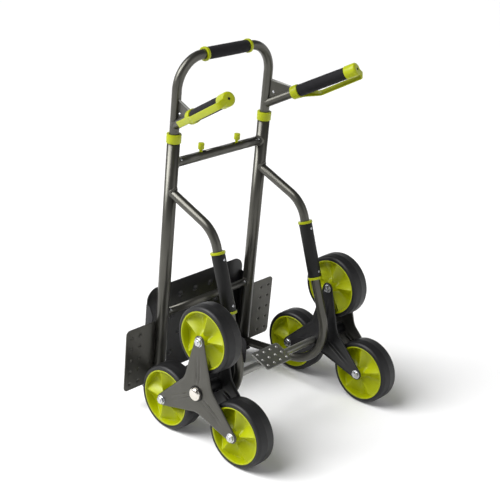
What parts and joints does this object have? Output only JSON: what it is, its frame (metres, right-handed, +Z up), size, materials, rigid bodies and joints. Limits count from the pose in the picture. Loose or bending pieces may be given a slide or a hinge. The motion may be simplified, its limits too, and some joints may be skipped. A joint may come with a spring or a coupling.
{
  "type": "stair climbing hand truck",
  "caption": "Folding stair-climbing hand truck: tube frame on three-wheel clusters, sliding arch handle, side handles with hand guards, fold-up toe plate.",
  "frame": {"origin": "on the floor, under the middle of the folded truck", "axes": "+Z up, +Y towards the load side, +X to the right of the person who pulls the truck"},
  "size_m": [0.54, 0.4694, 0.8659],
  "materials": {
    "painted_tube": "metallic grey powder coat, satin",
    "painted_plate": "metallic grey powder coat, satin",
    "black_steel": "black powder coat, satin",
    "black_sleeve": "moulded black plastic, fine texture",
    "grip_foam": "closed-cell foam rubber, matt",
    "lime_plastic": "moulded lime-green plastic, semi-gloss",
    "tyre_rubber": "solid black rubber, matt",
    "zinc_steel": "bright zinc plate",
    "chrome_cap": "bright chrome plate"
  },
  "bodies": {
    "frame": {"upright_left": "painted_tube", "upright_right": "painted_tube", "collar_left": "lime_plastic", "collar_right": "lime_plastic", "upper_leg_left": "painted_tube", "upper_leg_right": "painted_tube", "lower_leg_left": "painted_tube", "lower_leg_right": "painted_tube", "leg_sleeve_left": "black_sleeve", "leg_sleeve_right": "black_sleeve", "sleeve_liner_left": "lime_plastic", "sleeve_liner_right": "lime_plastic", "axle_gusset_left": "black_steel", "axle_gusset_right": "black_steel", "foot_bracket_left": "black_steel", "foot_bracket_right": "black_steel", "wheel_guard_left": "painted_plate", "wheel_guard_right": "painted_plate", "hub_cap_left": "chrome_cap", "hub_cap_right": "chrome_cap", "upper_crossbar": "painted_tube", "lower_crossbar": "painted_tube", "main_axle": "painted_tube", "foot_pedal": "painted_plate", "toe_hinge_rod": "zinc_steel"},
    "handle": {"handle_tube": "painted_tube", "arch_grip": "grip_foam", "arch_ring_left": "lime_plastic", "arch_ring_right": "lime_plastic", "side_grip_left": "grip_foam", "side_grip_right": "grip_foam", "hand_guard_left": "lime_plastic", "hand_guard_right": "lime_plastic"},
    "toe": {"toe_plate": "black_steel"},
    "knob_left": {"lock_knob_left": "lime_plastic"},
    "cluster_left": {"carrier_inner_left": "black_steel", "carrier_outer_left": "painted_plate", "hub_tube_left": "black_steel", "wheel_bolt_left_1": "zinc_steel", "wheel_bolt_left_2": "zinc_steel", "wheel_bolt_left_3": "zinc_steel"},
    "wheel_left_1": {"wheel_rim_left_1": "lime_plastic", "tyre_left_1": "tyre_rubber"},
    "wheel_left_2": {"wheel_rim_left_2": "lime_plastic", "tyre_left_2": "tyre_rubber"},
    "wheel_left_3": {"wheel_rim_left_3": "lime_plastic", "tyre_left_3": "tyre_rubber"},
    "knob_right": {"lock_knob_right": "lime_plastic"},
    "cluster_right": {"carrier_inner_right": "black_steel", "carrier_outer_right": "painted_plate", "hub_tube_right": "black_steel", "wheel_bolt_right_1": "zinc_steel", "wheel_bolt_right_2": "zinc_steel", "wheel_bolt_right_3": "zinc_steel"},
    "wheel_right_1": {"wheel_rim_right_1": "lime_plastic", "tyre_right_1": "tyre_rubber"},
    "wheel_right_2": {"wheel_rim_right_2": "lime_plastic", "tyre_right_2": "tyre_rubber"},
    "wheel_right_3": {"wheel_rim_right_3": "lime_plastic", "tyre_right_3": "tyre_rubber"}
  },
  "joints": [
    {"name": "handle_slide", "type": "slide", "parent": "frame", "child": "handle", "axis": [0, -0.0377, 0.9993], "range_m": [0, 0.25]},
    {"name": "toe_plate_fold", "type": "hinge", "parent": "frame", "child": "toe", "pos_m": [0, 0.22216, 0.01762], "axis": [-1, 0, 0], "range_deg": [0, 92.16]},
    {"name": "lock_left_slide", "type": "slide", "parent": "frame", "child": "knob_left", "axis": [1, 0, 0], "range_m": [0, 0.01], "stiffness_N_per_m": 350, "springref_m": -0.004},
    {"name": "lock_right_slide", "type": "slide", "parent": "frame", "child": "knob_right", "axis": [-1, 0, 0], "range_m": [0, 0.01], "stiffness_N_per_m": 350, "springref_m": -0.004},
    {"name": "cluster_left_spin", "type": "hinge", "parent": "frame", "child": "cluster_left", "pos_m": [-0.222, -0.04436, 0.1432], "axis": [-1, 0, 0], "continuous": true},
    {"name": "cluster_right_spin", "type": "hinge", "parent": "frame", "child": "cluster_right", "pos_m": [0.222, -0.04436, 0.1432], "axis": [-1, 0, 0], "continuous": true},
    {"name": "wheel_left_1_spin", "type": "hinge", "parent": "cluster_left", "child": "wheel_left_1", "pos_m": [-0.222, -0.04436, 0.272], "axis": [-1, 0, 0], "continuous": true},
    {"name": "wheel_left_2_spin", "type": "hinge", "parent": "cluster_left", "child": "wheel_left_2", "pos_m": [-0.222, -0.1559, 0.0788], "axis": [-1, 0, 0], "continuous": true},
    {"name": "wheel_left_3_spin", "type": "hinge", "parent": "cluster_left", "child": "wheel_left_3", "pos_m": [-0.222, 0.06719, 0.0788], "axis": [-1, 0, 0], "continuous": true},
    {"name": "wheel_right_1_spin", "type": "hinge", "parent": "cluster_right", "child": "wheel_right_1", "pos_m": [0.222, -0.04436, 0.272], "axis": [-1, 0, 0], "continuous": true},
    {"name": "wheel_right_2_spin", "type": "hinge", "parent": "cluster_right", "child": "wheel_right_2", "pos_m": [0.222, -0.1559, 0.0788], "axis": [-1, 0, 0], "continuous": true},
    {"name": "wheel_right_3_spin", "type": "hinge", "parent": "cluster_right", "child": "wheel_right_3", "pos_m": [0.222, 0.06719, 0.0788], "axis": [-1, 0, 0], "continuous": true}
  ]
}
